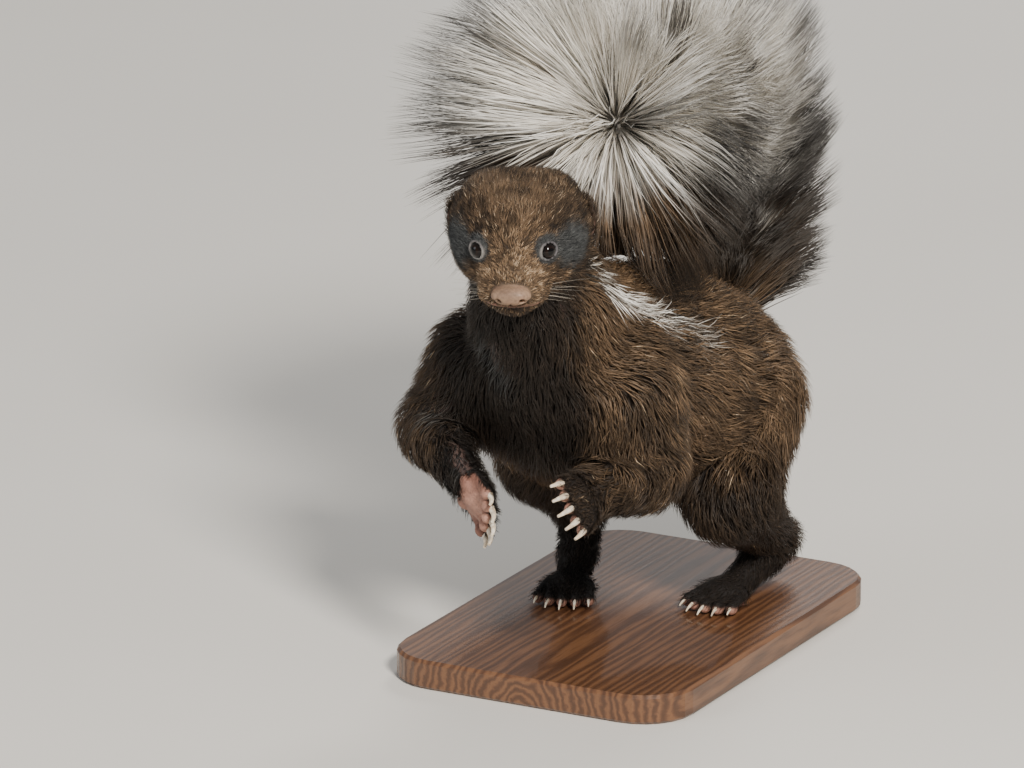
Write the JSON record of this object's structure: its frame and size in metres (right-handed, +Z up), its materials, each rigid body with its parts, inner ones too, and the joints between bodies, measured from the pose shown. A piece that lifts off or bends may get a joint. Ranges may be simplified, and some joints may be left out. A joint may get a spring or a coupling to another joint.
{
  "type": "striped skunk model",
  "caption": "Life-size still striped skunk in a low bound, forefeet lifted and plumed tail arched over its back, on a flat base.",
  "frame": {"origin": "middle of the base's flat underside", "axes": "+Z up, the animal faces -Y and its left side is +X"},
  "size_m": [0.1949, 0.3178, 0.3443],
  "materials": {
    "dark_coat": "dense dark brown-black fur, dusty and reddish brown over the back, with white stripes",
    "face_fur": "short dusty tan-brown fur, sandier on the muzzle",
    "tail_hair": "long coarse hair, creamy white at the base and black at the tips",
    "bare_skin": "bare pinkish-brown skin of the nose, pads and wrists, dull and finely creased",
    "eye": "wet black eye",
    "claw": "pale horn with soil at the roots",
    "base_wood": "satin oiled wood"
  },
  "bodies": {
    "root": {"stand_base": "base_wood", "torso": "dark_coat", "neck": "dark_coat", "head": "face_fur", "nose": "bare_skin", "eye_left": "eye", "ear_left": "dark_coat", "upper_foreleg_left": "dark_coat", "forearm_left": "dark_coat", "forepaw_left": "bare_skin", "thigh_left": "dark_coat", "shank_left": "dark_coat", "hindfoot_left": "dark_coat", "eye_right": "eye", "ear_right": "dark_coat", "upper_foreleg_right": "dark_coat", "forearm_right": "dark_coat", "forepaw_right": "bare_skin", "thigh_right": "dark_coat", "shank_right": "dark_coat", "hindfoot_right": "dark_coat", "tail_root": "dark_coat", "tail_plume": "tail_hair"}
  },
  "joints": []
}
